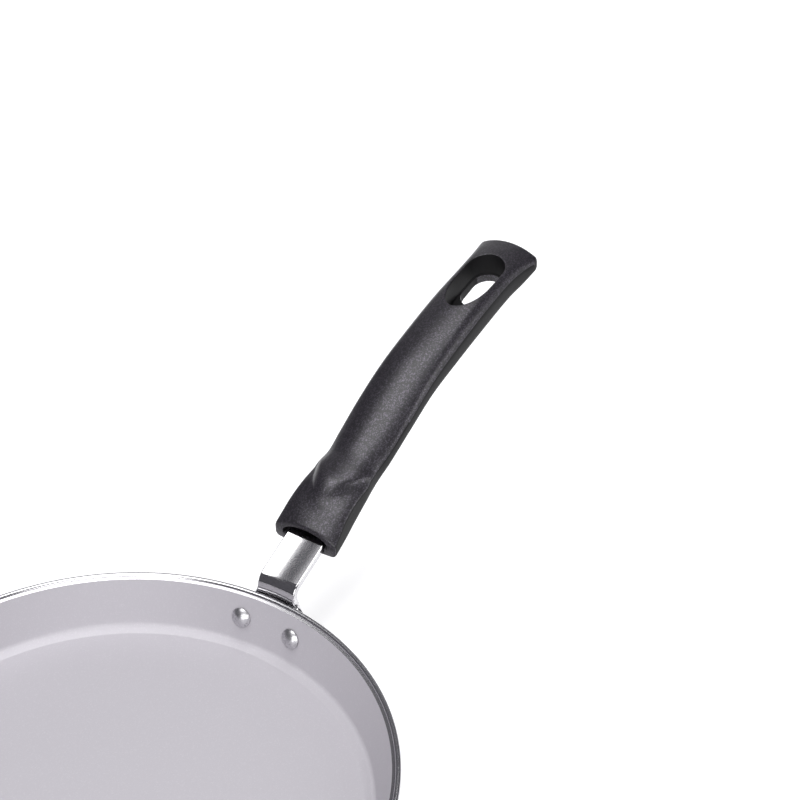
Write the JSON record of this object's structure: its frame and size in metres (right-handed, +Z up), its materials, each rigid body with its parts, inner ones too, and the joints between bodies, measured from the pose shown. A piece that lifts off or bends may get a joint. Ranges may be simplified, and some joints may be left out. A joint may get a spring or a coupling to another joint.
{
  "type": "crepe pan",
  "caption": "Shallow round crepe pan with a flared wall, a bare bright rim and a long arched grip on a bent steel bracket riveted to the wall.",
  "frame": {"origin": "centre of the flat contact disc under the pan's base", "axes": "+Z up along the pan's axis, +X from the pan's axis along the handle"},
  "size_m": [0.4395, 0.2404, 0.0986],
  "materials": {
    "coated_aluminium": "pressed aluminium under a satin pearl-grey non-stick coating, with a bare turned rim",
    "polished_steel": "bright polished stainless steel",
    "rivet_aluminium": "polished domed heads",
    "moulded_phenolic": "black compression-moulded phenolic with a fine metallic speckle and a soft sheen",
    "zinc_plated_steel": "bright zinc plating"
  },
  "bodies": {
    "root": {"pan_body": "coated_aluminium", "handle_bracket": "polished_steel", "rivet_left": "rivet_aluminium", "rivet_right": "rivet_aluminium", "handle_grip": "moulded_phenolic", "handle_screw": "zinc_plated_steel", "lock_washer": "zinc_plated_steel"}
  },
  "joints": []
}
